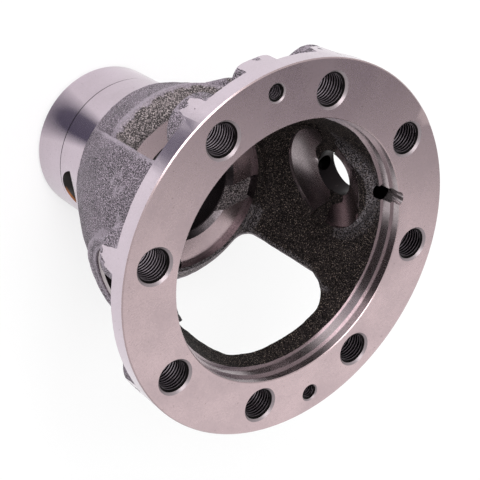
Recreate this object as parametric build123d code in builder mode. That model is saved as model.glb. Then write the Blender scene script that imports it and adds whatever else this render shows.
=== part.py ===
import os
from math import asin, cos, degrees, radians, sin, sqrt

from build123d import *

# Differential case: one iron casting, turned, bored and tapped.
# It stands on the end of its hub. The axle axis is Z, with the flange face up,
# and the cross-pin axis is parallel to X. Depths are measured down from the flange face.
# All lengths are in millimetres and all angles in degrees.

# Overall
total_length = 124.0

# Ring flange
flange_diameter = 138.0
flange_thickness = 6.5
flange_edge_chamfer = 1.0
flange_root_fillet = 4.0

# Threaded bolt holes, M12, in cast bosses behind the flange
bolt_circle_diameter = 116.0
bolt_count = 8
bolt_first_angle = 22.5
bolt_thread_diameter = 12.0
bolt_chamfer = 0.8
bolt_boss_radius = 11.1
bolt_boss_root_radius = 11.7
bolt_boss_depth = 16.0
bolt_boss_fillet = 2.0

# Threaded jacking holes, M6, one over each window
jack_circle_diameter = 122.5
jack_count = 2
jack_first_angle = 90.0
jack_thread_diameter = 6.0
jack_chamfer = 0.5
jack_boss_radius = 9.6
jack_boss_depth = 12.5
jack_boss_fillet = 1.5

# Register bore in the mouth, with a relief below it that ends on a ledge
register_diameter = 97.0
register_depth = 4.0
relief_diameter = 95.2
relief_foot_diameter = 94.6
ledge_depth = 8.0
register_chamfer = 0.3

# Cast hollow: a mouth that curves in to half a sphere
pin_depth = 31.0
mouth_radius = 46.5
hollow_radius = 44.5

# Cast outside: a barrel, a ridge, and a cone down to the bearing shoulder
barrel_radius = 51.8
ridge_radius = 43.1
ridge_depth = 70.0
shoulder_radius = 35.0
shoulder_depth = 85.7

# Hub, with a bearing seat, a thin groove and a slightly smaller end
seat_diameter = 61.0
seat_length = 19.8
hub_diameter = 60.6
hub_end_chamfer = 1.2
hub_groove_width = 0.7
hub_groove_depth = 0.5
hub_bore_diameter = 40.0

# Thrust ring for a side gear, a step below the cast annulus at the foot of the hollow
annulus_radius = 34.5
annulus_drop = 2.7
annulus_fillet = 1.0
thrust_radius = 32.0
thrust_drop = 2.2
thrust_chamfer = 1.9

# Oil grooves across the thrust ring
oil_groove_count = 4
oil_groove_width = 8.5
oil_groove_depth = 2.0
oil_groove_offset = 12.0

# Windows, centred on -Y and +Y, whose walls point at the centre of the hollow
window_half_angle = 38.7
window_rise_angle = 17.4
window_drop_angle = 42.5
window_foot_corner_radius = 7.0
window_near_corner_radius = 11.0
window_far_corner_radius = 16.0
window_edge_round = 1.2
collar_radius = 40.0
collar_depth = 68.0

# Cross-pin bore, its outer bosses, longer along the axle axis, and the inner pads
pin_diameter = 18.0
pin_boss_half_width = 16.5
pin_boss_half_height = 19.0
pin_boss_draft = 12.0
pin_boss_distance = 52.5
pin_boss_fillet = 1.2
spot_face_radius = 13.0
spot_face_distance = 52.0
pad_radius = 21.5
pad_inner_radius = 44.0
pad_lip_radius = 41.3
pad_top_radius = 44.0

# Spherical seats for the pinion washers, and the cast oil channel across each in two arms,
# whose outlines are in shares of the seat's radius: round the axle axis, then up along it
washer_sphere_radius = 45.0
washer_seat_radius = 20.0
channel_sphere_radius = 45.9
channel_arms = (
    [
        (0.15, -0.425), (0.275, -0.45), (0.45, -0.375), (0.6, -0.225), (0.8, -0.15),
        (1.1, -0.15), (1.05, 0.45), (0.775, 0.35), (0.6, 0.2), (0.425, 0.05),
    ],
    [
        (-0.375, 0.225), (-0.5, 0.225), (-0.6, 0.1), (-0.75, -0.09), (-1.1, -0.15),
        (-1.1, -0.475), (-0.75, -0.275), (-0.6, -0.15), (-0.375, -0.15),
    ],
)

# Lock-pin hole, parallel to the axle axis, through the cross-pin bore
lock_diameter = 6.0
lock_circle_radius = 47.4
lock_depth = 52.0

# Half-moon pocket in the bearing seat, cut by a tilted end mill
pocket_diameter = 15.0
pocket_center_depth = 96.5
pocket_floor_drop = 3.0

# Room past a face that a cutting shape passes through
past = 5.0

pin_height = total_length - pin_depth
flange_radius = flange_diameter / 2
pin_radius = pin_diameter / 2
sphere_foot_depth = pin_depth + sqrt(hollow_radius**2 - annulus_radius**2)
annulus_depth = sphere_foot_depth + annulus_drop
thrust_depth = annulus_depth + thrust_drop


def height(depth):
    """Height above the hub end of a point at this depth below the flange face."""
    return total_length - depth


def radial_plane(angle):
    """Upright plane through the axle axis: local x runs outward, local y runs up."""
    outward = (cos(radians(angle)), sin(radians(angle)), 0)
    sideways = (sin(radians(angle)), -cos(radians(angle)), 0)
    return Plane(origin=(0, 0, 0), x_dir=outward, z_dir=sideways)


def pin_plane(distance):
    """Plane square to the cross pin on the +X side, centred on the pin's axis."""
    return Plane(origin=(distance, 0, pin_height), x_dir=(0, 1, 0), z_dir=(1, 0, 0))


# Blank of the casting, solid, with the hub already turned
hub_radius = hub_diameter / 2
seat_radius = seat_diameter / 2
groove_top = height(shoulder_depth + seat_length)
groove_foot = groove_top - hub_groove_width
groove_radius = seat_radius - hub_groove_depth
rear_height = height(flange_thickness)

with BuildPart() as shell:
    with BuildSketch(Plane.XZ) as shell_profile:
        with BuildLine():
            Polyline(
                (0, 0),
                (hub_radius - hub_end_chamfer, 0),
                (hub_radius, hub_end_chamfer),
                (hub_radius, groove_foot),
                (groove_radius, groove_foot),
                (groove_radius, groove_top),
                (seat_radius, groove_top),
                (seat_radius, height(shoulder_depth)),
                (shoulder_radius, height(shoulder_depth)),
                (ridge_radius, height(ridge_depth)),
            )
            barrel_start = (barrel_radius, pin_height)
            TangentArc(barrel_start, (ridge_radius, height(ridge_depth)), tangent=(0, -1))
            Polyline(
                barrel_start,
                (barrel_radius, rear_height),
                (flange_radius, rear_height),
                (flange_radius, total_length),
                (0, total_length),
                (0, 0),
            )
        make_face()
        flange_corner = shell_profile.vertices().sort_by_distance(
            (barrel_radius, rear_height, 0)
        )[0]
        fillet(flange_corner, radius=flange_root_fillet)
    revolve(axis=Axis.Z)

# Cast hollow, open through the mouth
with BuildPart() as hollow:
    with BuildSketch(Plane.XZ) as hollow_profile:
        with BuildLine():
            Polyline(
                (0, total_length + past),
                (mouth_radius, total_length + past),
                (mouth_radius, height(ledge_depth)),
            )
            hollow_waist = (hollow_radius, pin_height)
            TangentArc(hollow_waist, (mouth_radius, height(ledge_depth)), tangent=(0, 1))
            TangentArc(hollow_waist, (annulus_radius, height(sphere_foot_depth)), tangent=(0, -1))
            Polyline(
                (annulus_radius, height(sphere_foot_depth)),
                (annulus_radius, height(annulus_depth)),
                (0, height(annulus_depth)),
                (0, total_length + past),
            )
        make_face()
        annulus_corner = hollow_profile.vertices().sort_by_distance(
            (annulus_radius, height(annulus_depth), 0)
        )[0]
        fillet(annulus_corner, radius=annulus_fillet)
    revolve(axis=Axis.Z)

# Windows: a sector of a spherical shell with rounded corners, and the lower collar beside it
window_start = -90 - window_half_angle
window_arc = 2 * window_half_angle
window_near = pad_inner_radius - past
window_far = flange_radius + past

with BuildPart() as window:
    with BuildSketch(radial_plane(window_start)):
        with BuildLine():
            near_top = (
                window_near * cos(radians(window_rise_angle)),
                pin_height + window_near * sin(radians(window_rise_angle)),
            )
            near_foot = (
                window_near * cos(radians(window_drop_angle)),
                pin_height - window_near * sin(radians(window_drop_angle)),
            )
            far_top = (
                window_far * cos(radians(window_rise_angle)),
                pin_height + window_far * sin(radians(window_rise_angle)),
            )
            far_foot = (
                window_far * cos(radians(window_drop_angle)),
                pin_height - window_far * sin(radians(window_drop_angle)),
            )
            Polyline(near_foot, far_foot)
            ThreePointArc(far_foot, (window_far, pin_height), far_top)
            Polyline(far_top, near_top)
            ThreePointArc(near_top, (window_near, pin_height), near_foot)
        make_face()
    revolve(axis=Axis.Z, revolution_arc=window_arc)
    foot_corners = window.edges().filter_by(GeomType.LINE).sort_by(Axis.Z)[:2]
    fillet(foot_corners, radius=window_foot_corner_radius)
    near_corner = window.edges().filter_by(GeomType.LINE).sort_by(Axis.Z)[-2:].sort_by(Axis.X)[0]
    fillet(near_corner, radius=window_near_corner_radius)
    far_corner = window.edges().filter_by(GeomType.LINE).sort_by(Axis.Z)[-1]
    fillet(far_corner, radius=window_far_corner_radius)

with BuildPart() as collar:
    slope = (collar_radius - shoulder_radius) / (shoulder_depth - collar_depth)
    reach = shoulder_depth - pin_depth
    with BuildSketch(radial_plane(window_start)):
        with BuildLine():
            Polyline(
                (shoulder_radius, height(shoulder_depth)),
                (shoulder_radius + slope * reach, pin_height),
                (window_far, pin_height),
                (window_far, height(shoulder_depth)),
                close=True,
            )
        make_face()
    revolve(axis=Axis.Z, revolution_arc=window_arc)

# Cast bosses behind the flange
with BuildPart() as bolt_boss:
    with BuildSketch(Plane.XY.offset(rear_height + past)):
        Circle(bolt_boss_root_radius)
    with BuildSketch(Plane.XY.offset(rear_height)):
        Circle(bolt_boss_root_radius)
    with BuildSketch(Plane.XY.offset(height(bolt_boss_depth))):
        Circle(bolt_boss_radius)
    loft(ruled=True)
    fillet(bolt_boss.faces().sort_by(Axis.Z)[0].edges(), radius=bolt_boss_fillet)

with BuildPart() as jack_boss:
    with BuildSketch(Plane.XY.offset(height(jack_boss_depth))):
        Circle(jack_boss_radius)
    extrude(amount=jack_boss_depth - flange_thickness + past)
    fillet(jack_boss.faces().sort_by(Axis.Z)[0].edges(), radius=jack_boss_fillet)

with BuildPart() as bosses:
    with PolarLocations(bolt_circle_diameter / 2, bolt_count, start_angle=bolt_first_angle):
        add(bolt_boss.part)
    with PolarLocations(jack_circle_diameter / 2, jack_count, start_angle=jack_first_angle):
        add(jack_boss.part)
    add(hollow.part, mode=Mode.SUBTRACT)

# Cross-pin bosses outside, with drafted sides
with BuildPart() as pin_boss:
    with BuildSketch(pin_plane(pin_boss_distance)):
        Ellipse(pin_boss_half_width, pin_boss_half_height)
    extrude(amount=hollow_radius - pin_boss_distance, taper=-pin_boss_draft)
    fillet(pin_boss.faces().sort_by(Axis.X)[-1].edges(), radius=pin_boss_fillet)

with BuildPart() as pin_bosses:
    with PolarLocations(0, 2):
        add(pin_boss.part)
    add(hollow.part, mode=Mode.SUBTRACT)

# Pads inside, round the spherical seats, that slope up to the ledge
with BuildPart() as pads:
    with BuildSketch(pin_plane(0)):
        Circle(pad_radius)
    extrude(amount=barrel_radius - past, both=True)
    with BuildSketch(Plane.XZ) as pad_hollow_profile:
        lip_start = pin_height + sqrt(pad_inner_radius**2 - pad_lip_radius**2)
        with BuildLine():
            Polyline(
                (0, total_length + past),
                (pad_top_radius, total_length + past),
                (pad_top_radius, height(ledge_depth)),
                (pad_lip_radius, lip_start),
            )
            ThreePointArc(
                (pad_lip_radius, lip_start),
                (pad_inner_radius, pin_height),
                (0, pin_height - pad_inner_radius),
            )
            Line((0, pin_height - pad_inner_radius), (0, total_length + past))
        make_face()
    revolve(axis=Axis.Z, mode=Mode.SUBTRACT)

# The casting as it leaves the mould, with its window edges rounded
hollow_center = Vector(0, 0, pin_height)
wall_middle = (hollow_radius + barrel_radius) / 2


def reach(edge):
    """Distances of an edge's ends from the centre of the hollow."""
    return [(end.center() - hollow_center).length for end in edge.vertices()]


with BuildPart() as casting:
    add(shell.part)
    add(hollow.part, mode=Mode.SUBTRACT)
    with PolarLocations(0, 2):
        add(window.part, mode=Mode.SUBTRACT)
    window_edges = casting.edges(Select.NEW)
    inner_edges = window_edges.filter_by(lambda edge: max(reach(edge)) < wall_middle)
    outer_edges = window_edges.filter_by(lambda edge: min(reach(edge)) > wall_middle)
    fillet(inner_edges + outer_edges, radius=window_edge_round)
    with PolarLocations(0, 2):
        add(collar.part, mode=Mode.SUBTRACT)
    add(pads.part)
    add(bosses.part)
    add(pin_bosses.part)

# Cutter of the spot face on a cross-pin boss
with BuildPart() as spot_face:
    with BuildSketch(pin_plane(spot_face_distance)):
        Circle(spot_face_radius)
    extrude(amount=past)

# Spherical washer seats, with a cast channel a little deeper across each
with BuildPart() as washer_seat:
    with BuildSketch(Plane(origin=(0, 0, pin_height), x_dir=(1, 0, 0), z_dir=(0, -1, 0))):
        with BuildLine():
            seat_arc = CenterArc(
                (0, 0), washer_sphere_radius, 0, degrees(asin(washer_seat_radius / washer_sphere_radius))
            )
            Polyline(seat_arc @ 1, (0, washer_seat_radius), (0, 0), seat_arc @ 0)
        make_face()
    revolve(axis=Axis((0, 0, pin_height), (1, 0, 0)))

with BuildPart() as channel:
    for arm in channel_arms:
        outline = [(washer_seat_radius * across, washer_seat_radius * up) for across, up in arm]
        with BuildSketch(pin_plane(0)):
            with BuildLine():
                Spline(*outline, outline[0])
            make_face()
        extrude(amount=channel_sphere_radius)
    with Locations((0, 0, pin_height)):
        Sphere(channel_sphere_radius, mode=Mode.INTERSECT)

# End-mill cutter of the half-moon pocket, tilted so that its floor runs out at mid height
pocket_radius = pocket_diameter / 2
pocket_tilt = degrees(asin(pocket_floor_drop / pocket_radius))
pocket_height = height(pocket_center_depth)

with BuildPart() as pocket:
    pocket_floor = Plane(
        origin=(seat_radius, 0, pocket_height),
        x_dir=(0, 1, 0),
        z_dir=(cos(radians(pocket_tilt)), 0, -sin(radians(pocket_tilt))),
    )
    with BuildSketch(pocket_floor):
        Circle(pocket_radius)
    extrude(amount=pocket_diameter)

# The finished case
with BuildPart() as differential_case:
    add(casting.part)

    # Turned rim and faced flange
    with BuildSketch(Plane.XY):
        Circle(flange_radius)
    extrude(amount=total_length, mode=Mode.INTERSECT)
    flange_face = differential_case.faces().sort_by(Axis.Z)[-1]
    chamfer(flange_face.outer_wire().edges(), length=flange_edge_chamfer)

    # Register, relief and ledge
    with BuildSketch(Plane.XZ):
        with BuildLine():
            Polyline(
                (0, total_length + past),
                (register_diameter / 2 + register_chamfer + past, total_length + past),
                (register_diameter / 2 + register_chamfer, total_length),
                (register_diameter / 2, height(register_chamfer)),
                (register_diameter / 2, height(register_depth)),
                (relief_diameter / 2, height(register_depth)),
                (relief_foot_diameter / 2, height(ledge_depth)),
                (0, height(ledge_depth)),
                close=True,
            )
        make_face()
    revolve(axis=Axis.Z, mode=Mode.SUBTRACT)

    # Thrust ring and hub bore
    with BuildSketch(Plane.XY.offset(height(thrust_depth))):
        Circle(thrust_radius)
    extrude(amount=thrust_drop + past, mode=Mode.SUBTRACT)
    with Locations((0, 0, height(thrust_depth))):
        CounterSinkHole(
            radius=hub_bore_diameter / 2,
            counter_sink_radius=hub_bore_diameter / 2 + thrust_chamfer,
            counter_sink_angle=90,
        )

    # Oil grooves, each set off from the axle axis to one side
    with BuildSketch(Plane.XY.offset(height(thrust_depth + oil_groove_depth))):
        with PolarLocations(0, oil_groove_count):
            with Locations((-thrust_radius / 2, oil_groove_offset)):
                Rectangle(thrust_radius, oil_groove_width)
        Circle(thrust_radius, mode=Mode.INTERSECT)
    extrude(amount=oil_groove_depth + past, mode=Mode.SUBTRACT)

    # Cross-pin bore, spot faces, seats and channels
    with BuildSketch(pin_plane(0)):
        Circle(pin_radius)
    extrude(amount=pin_boss_distance + past, both=True, mode=Mode.SUBTRACT)
    with PolarLocations(0, 2):
        add(spot_face.part, mode=Mode.SUBTRACT)
        add(washer_seat.part, mode=Mode.SUBTRACT)
        add(channel.part, mode=Mode.SUBTRACT)

    # Lock-pin hole
    with Locations((-lock_circle_radius, 0, total_length)):
        Hole(radius=lock_diameter / 2, depth=lock_depth)

    # Tapped holes, at the threads' outer diameter
    with Locations(Plane.XY.offset(total_length)):
        with PolarLocations(bolt_circle_diameter / 2, bolt_count, start_angle=bolt_first_angle):
            CounterSinkHole(
                radius=bolt_thread_diameter / 2,
                counter_sink_radius=bolt_thread_diameter / 2 + bolt_chamfer,
                depth=bolt_boss_depth + past,
                counter_sink_angle=90,
            )
        with PolarLocations(jack_circle_diameter / 2, jack_count, start_angle=jack_first_angle):
            CounterSinkHole(
                radius=jack_thread_diameter / 2,
                counter_sink_radius=jack_thread_diameter / 2 + jack_chamfer,
                depth=jack_boss_depth + past,
                counter_sink_angle=90,
            )

    add(pocket.part, mode=Mode.SUBTRACT)

os.makedirs("parts", exist_ok=True)
differential_case.part.label = "differential_case"
export_step(differential_case.part, "parts/differential_case.step")
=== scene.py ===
"""Looks of a bare differential case: as-cast skin, machined faces, tapped threads, and a plain studio."""

from math import cos, pi, radians, sin

import bmesh
import bpy
import numpy as np
from mathutils import Matrix, Vector
from mathutils.noise import noise as noise_at


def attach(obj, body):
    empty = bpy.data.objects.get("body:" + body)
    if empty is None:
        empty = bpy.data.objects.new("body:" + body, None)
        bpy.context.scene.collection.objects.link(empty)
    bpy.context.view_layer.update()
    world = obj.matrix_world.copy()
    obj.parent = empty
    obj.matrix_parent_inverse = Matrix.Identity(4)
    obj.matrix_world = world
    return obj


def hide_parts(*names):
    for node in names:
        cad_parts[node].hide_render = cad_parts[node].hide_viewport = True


bl_info = {
    "name": "Differential Case",
    "version": (1, 0, 0),
    "blender": (4, 5, 0),
    "location": "View3D > Sidebar > Differential Case",
    "description": "Dresses a differential case with cast skin, machined faces and threads",
    "category": "Object",
}

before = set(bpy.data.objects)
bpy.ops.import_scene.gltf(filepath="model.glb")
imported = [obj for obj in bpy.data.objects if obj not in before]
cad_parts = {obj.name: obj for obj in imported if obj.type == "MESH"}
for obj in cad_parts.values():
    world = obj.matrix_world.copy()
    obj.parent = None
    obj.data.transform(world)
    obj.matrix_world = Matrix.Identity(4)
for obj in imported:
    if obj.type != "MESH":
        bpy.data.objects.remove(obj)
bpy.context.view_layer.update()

NODE = "differential_case"
BODY = "root"
MM = 0.001
MERGE_DISTANCE = 0.002 * MM
TINY = 1e-9

# Finishes, in the order of the material slots; a patch ends as turned iron or as outer skin
OUTER_SKIN, HOLLOW_SKIN, COARSE_SKIN, FACED, TURNED, BORED, SEAT = range(7)
POCKET, TAPPED, RING, EDGED, GROOVED, PATCH = range(7, 13)
LAST_SKIN = COARSE_SKIN

# Heights on the case, in millimetres up from the hub's end
FACE_HEIGHT = 124.0
REGISTER_FOOT = 120.0
FLANGE_REAR = 117.5
LEDGE_HEIGHT = 116.0
PIN_HEIGHT = 93.0
LOCK_FOOT = 71.9
THRUST_HEIGHT = 59.993
BRIGHT_LIP = (57.3, 58.2)
SHOULDER_HEIGHT = 38.3
POCKET_HEIGHT = 27.5
HUB_GROOVE_HEIGHT = 18.15
HUB_END = 0.0
MACHINED_HEIGHTS = (FACE_HEIGHT, REGISTER_FOOT, LEDGE_HEIGHT, THRUST_HEIGHT, SHOULDER_HEIGHT, HUB_END)

# Radii about the axle axis, in millimetres
FLANGE_RADIUS = 69.0
REGISTER_RADIUS = 48.5
RELIEF_RADII = (47.27, 47.63)
THRUST_RADIUS = 32.0
BORE_RADIUS = 20.0
MACHINED_RADII = (FLANGE_RADIUS, REGISTER_RADIUS, THRUST_RADIUS, BORE_RADIUS)
BOLT_CIRCLE = 58.0
JACK_CIRCLE = 61.25
LOCK_CIRCLE = 47.4
LOCK_RADIUS = 3.05

# Cross pin, washer seats, spot faces and half-moon pocket, in millimetres
CENTRE = np.array((0.0, 0.0, PIN_HEIGHT))
PIN_RADIUS = 9.0
SEAT_SPHERE = 45.0
SEAT_RADIUS = 20.0
SEAT_REACH = 46.0
SPOT_DISTANCE = 52.0
SPOT_RADIUS = 13.0
POCKET_REACH = 7.8

# Bounds of the cast skin's kinds, in millimetres, reach being the distance from the hollow's centre
HOLLOW_REACH = 46.3
MOUTH_SKIN_RADIUS = 47.2
FOOT_SKIN_RADIUS = 36.0
FOOT_SKIN_HEIGHT = 50.0
WINDOW_REACH = (44.3, 57.0)
WINDOW_HEIGHTS = (55.0, 113.0)
WINDOW_HALF_WIDTH = 37.0
WINDOW_SIDE = 24.0
WINDOW_INNER_SIDE = 20.0
RING_SKIN_HEIGHTS = (57.0, 64.5)
RING_SKIN_RADIUS = 36.5
OIL_GROOVE_RADIUS = 31.9
COARSE_RING_SIDE = -20.0

# How far a face may lie from its exact place, in millimetres
FACE_SLACK = 0.02
WALL_SLACK = 0.03
HOLE_SLACK = 0.05
SPHERE_SLACK = 0.07

# Cosines between a face's normal and a direction
LEVEL = 0.999
SQUARE = 0.98
BORE_SQUARE = 0.95
RELIEF_SQUARE = 0.9
CHAMFER = 0.3
WINDOW_LEAN = 0.45
STEEP = 0.2

# Large and small tapped holes, in millimetres: reach of the chamfer, and top and foot of the thread
BOLT_HOLE_REACH = 6.9
JACK_HOLE_REACH = 3.6
HOLE_CHAMFER_WIDTH = 0.8
HOLE_CHAMFER_FOOT = 123.5
HOLE_FOOT = 102.0
BOLT_THREAD_ENDS = (123.2, 108.05)
JACK_THREAD_ENDS = (123.5, 111.55)
THREAD_DEPTH = 0.541

# Share of the rim's chamfer that is seen as its thin bright line
RIM_SHARE = 0.4


# Settings


def length_setting(name, description, default, least=0.0):
    return bpy.props.FloatProperty(
        name=name, description=description, default=default, min=least, unit="LENGTH", precision=5
    )


def colour_setting(name, description, default):
    return bpy.props.FloatVectorProperty(name=name, description=description, default=default, subtype="COLOR")


class CaseShape(bpy.types.PropertyGroup):
    skin_edge: length_setting(
        "Skin Mesh Size", "Longest edge of the mesh that carries the cast skin", 1.65 * MM, least=0.5 * MM
    )
    swell_size: length_setting("Swell Size", "Width of the slow swells in the cast skin", 7.0 * MM, least=1.0 * MM)
    swell_depth: length_setting("Swell Depth", "Height of the slow swells from hollow to crest", 0.5 * MM)
    grain_size: length_setting(
        "Grain Size", "Width of the sand grain pressed into the cast skin", 1.5 * MM, least=0.2 * MM
    )
    grain_depth: length_setting("Grain Depth", "Height of the sand grain from pit to crest", 0.2 * MM)
    ragged_limit: length_setting("Ragged Limit", "Furthest that the border of a machined face wanders", 0.55 * MM)
    smooth_angle: bpy.props.FloatProperty(
        name="Smooth Angle", description="Edges sharper than this stay crisp", default=radians(38), unit="ROTATION"
    )


class ThreadShape(bpy.types.PropertyGroup):
    bolt_radius: length_setting("Bolt Thread Radius", "Outer radius of the thread in the large holes", 6.0 * MM)
    bolt_pitch: length_setting("Bolt Thread Pitch", "Rise of one turn in the large holes", 1.25 * MM)
    jack_radius: length_setting("Jacking Thread Radius", "Outer radius of the thread in the two small holes", 3.0 * MM)
    jack_pitch: length_setting("Jacking Thread Pitch", "Rise of one turn in the two small holes", 1.0 * MM)
    liner_wall: length_setting("Liner Wall", "How deep the thread piece sits in the metal round it", 0.25 * MM)


class CaseColours(bpy.types.PropertyGroup):
    skin_light: colour_setting("Skin Light", "Grain crests of the cast skin outside", (0.39, 0.318, 0.388))
    skin_dark: colour_setting("Skin Dark", "Grain pits of the cast skin outside", (0.003, 0.0025, 0.0035))
    # Painted shade: the skin inside the case is the outer skin's iron with far darker colours.
    shaded_hollow_light: colour_setting("Hollow Light", "Grain crests of the cast skin inside", (0.032, 0.0255, 0.026))
    shaded_hollow_dark: colour_setting("Hollow Dark", "Grain pits of the cast skin inside", (0.0012, 0.0009, 0.001))
    coarse_light: colour_setting(
        "Coarse Light", "Grain crests of the coarse skin on window walls and in the oil grooves", (0.30, 0.25, 0.26)
    )
    coarse_dark: colour_setting("Coarse Dark", "Grain pits of the coarse skin", (0.004, 0.003, 0.0034))
    # Rubbed wear on the outer skin's ridges and window rims; its lighter colour is also a painted highlight there.
    wear_and_painted_light_colour: colour_setting("Wear And Painted Light", "Worn ridges and rims of the skin outside", (0.33, 0.28, 0.33))
    faced_light: colour_setting("Faced Light", "Clean flat-turned iron", (0.53, 0.41, 0.42))
    faced_dark: colour_setting("Faced Dark", "Duller patches of flat-turned iron", (0.415, 0.325, 0.34))
    turned_light: colour_setting("Turned Light", "Clean iron turned round", (0.60, 0.515, 0.58))
    turned_dark: colour_setting("Turned Dark", "Duller patches of iron turned round", (0.50, 0.43, 0.475))
    ring_light: colour_setting(
        "Ring Light", "Clean machined iron of the mouth, the thrust ring and the washer seats", (0.52, 0.45, 0.465)
    )
    ring_dark: colour_setting("Ring Dark", "Duller patches of the machined iron inside", (0.36, 0.305, 0.32))
    # Painted shade: dark iron for the hub's bore and the wall round the thrust ring, standing for the shade in them.
    shaded_bore: colour_setting("Bored", "Oily iron inside the bore of the hub", (0.17, 0.145, 0.155))
    rust: colour_setting("Rust", "Thin rust in the half-moon pocket", (0.42, 0.16, 0.06))


class StageSettings(bpy.types.PropertyGroup):
    camera_place: bpy.props.FloatVectorProperty(
        name="Camera Place", description="Where the camera stands", default=(0.2057, -0.2368, 0.4084),
        subtype="TRANSLATION", precision=4,
    )
    camera_lens: bpy.props.FloatProperty(
        name="Camera Lens", description="Focal length on a sensor 36 mm wide", default=93.48, unit="CAMERA"
    )
    floor_colour: colour_setting("Floor Colour", "Plain pale floor", (0.95, 0.95, 0.95))
    world_strength: bpy.props.FloatProperty(
        name="World Strength", description="Brightness of the room all round", default=0.84
    )


# Node helpers


def add_node(tree, kind, settings=None, **inputs):
    """A node of this kind with its settings made and its input sockets filled or linked."""
    node = tree.nodes.new(kind)
    for name, value in (settings or {}).items():
        setattr(node, name, value)
    for name, value in inputs.items():
        key = int(name[1:]) if name[0] == "i" and name[1:].isdigit() else name.replace("_", " ")
        socket = node.inputs[key]
        if isinstance(value, bpy.types.NodeSocket):
            tree.links.new(value, socket)
        else:
            socket.default_value = value
    return node


def calc(tree, operation, first, second=0.0, third=0.0, clamp=False):
    settings = {"operation": operation, "use_clamp": clamp}
    return add_node(tree, "ShaderNodeMath", settings, i0=first, i1=second, i2=third).outputs[0]


def ramp(tree, value, low, high, start=0.0, end=1.0):
    """Value mapped from low..high to start..end, held at the ends."""
    node = add_node(tree, "ShaderNodeMapRange", {"clamp": True}, i0=value, i1=low, i2=high, i3=start, i4=end)
    return node.outputs[0]


def blend(tree, factor, first, second):
    """Colour between first and second."""
    node = add_node(tree, "ShaderNodeMix", {"data_type": "RGBA"})
    for key, value in ((0, factor), (6, first), (7, second)):
        if isinstance(value, bpy.types.NodeSocket):
            tree.links.new(value, node.inputs[key])
        else:
            node.inputs[key].default_value = value if key == 0 else (*value, 1.0)
    return node.outputs[2]


def noise(tree, vector, scale, detail=2.0, roughness=0.5):
    return add_node(
        tree, "ShaderNodeTexNoise", {"noise_dimensions": "3D"},
        Vector=vector, Scale=scale, Detail=detail, Roughness=roughness,
    ).outputs[0]


def vector_length(tree, vector):
    return add_node(tree, "ShaderNodeVectorMath", {"operation": "LENGTH"}, i0=vector).outputs["Value"]


def new_group(name, inputs, outputs):
    """An empty node group with named sockets, and its input and output nodes."""
    tree = bpy.data.node_groups.new(name, "ShaderNodeTree")
    for label, kind, default in inputs:
        socket = tree.interface.new_socket(label, in_out="INPUT", socket_type=kind)
        if default is not None:
            socket.default_value = default
    for label, kind in outputs:
        tree.interface.new_socket(label, in_out="OUTPUT", socket_type=kind)
    return tree, tree.nodes.new("NodeGroupInput"), tree.nodes.new("NodeGroupOutput")


def fill_outputs(tree, made, values):
    for value, socket in zip(values, made.inputs):
        tree.links.new(value, socket)


def use_group(tree, name, **inputs):
    """This node group's outputs, with the group built on its first use."""
    if name not in bpy.data.node_groups:
        GROUP_MAKERS[name]()
    return add_node(tree, "ShaderNodeGroup", {"node_tree": bpy.data.node_groups[name]}, **inputs).outputs


# Node groups

FLOAT, VECTOR = "NodeSocketFloat", "NodeSocketVector"


def axle_places():
    """Radius, angle and height about the axle axis."""
    tree, given, made = new_group(
        "axle_places", [("Place", VECTOR, None)], [("Radius", FLOAT), ("Angle", FLOAT), ("Height", FLOAT)]
    )
    x, y, z = add_node(tree, "ShaderNodeSeparateXYZ", i0=given.outputs[0]).outputs
    flat = add_node(tree, "ShaderNodeCombineXYZ", X=x, Y=y).outputs[0]
    fill_outputs(tree, made, (vector_length(tree, flat), calc(tree, "ARCTAN2", y, x), z))


def pin_places():
    """Radius and angle about the cross-pin axis, and distance along it."""
    tree, given, made = new_group(
        "pin_places", [("Place", VECTOR, None)], [("Radius", FLOAT), ("Angle", FLOAT), ("Along", FLOAT)]
    )
    x, y, z = add_node(tree, "ShaderNodeSeparateXYZ", i0=given.outputs[0]).outputs
    rise = calc(tree, "SUBTRACT", z, PIN_HEIGHT * MM)
    flat = add_node(tree, "ShaderNodeCombineXYZ", X=y, Y=rise).outputs[0]
    fill_outputs(tree, made, (vector_length(tree, flat), calc(tree, "ARCTAN2", rise, y), x))


def sand_grain():
    """Sand-cast skin: a height, a speckle between pit and crest, a slow mottle, and rare bright specks."""
    tree, given, made = new_group(
        "sand_grain",
        [("Place", VECTOR, None), ("Grain", FLOAT, 1.0), ("Mottle", FLOAT, 1.0), ("Softness", FLOAT, 0.1)],
        [("Height", FLOAT), ("Speckle", FLOAT), ("Mottle", FLOAT), ("Glint", FLOAT)],
    )
    place, grain, mottle, softness = given.outputs[:4]
    once, often, oftener = (calc(tree, "DIVIDE", count, grain) for count in (1.0, 1.2, 1.6))
    lumps = noise(tree, place, once, detail=3.0, roughness=0.65)
    cells = add_node(tree, "ShaderNodeTexVoronoi", {"feature": "F1"}, Vector=place, Scale=oftener).outputs["Distance"]
    height = calc(tree, "MULTIPLY_ADD", cells, 0.45, calc(tree, "MULTIPLY", lumps, 0.8))

    speckle_middle = 0.535
    low = calc(tree, "SUBTRACT", speckle_middle, softness)
    high = calc(tree, "ADD", speckle_middle, softness)
    speckle = ramp(tree, noise(tree, place, often, roughness=0.6), low, high)
    slow = noise(tree, place, calc(tree, "DIVIDE", 1.0, mottle), detail=3.0, roughness=0.6)
    glint = ramp(tree, noise(tree, place, oftener, detail=1.0), 0.61, 0.72)
    fill_outputs(tree, made, (height, speckle, ramp(tree, slow, 0.3, 0.7), glint))


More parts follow.
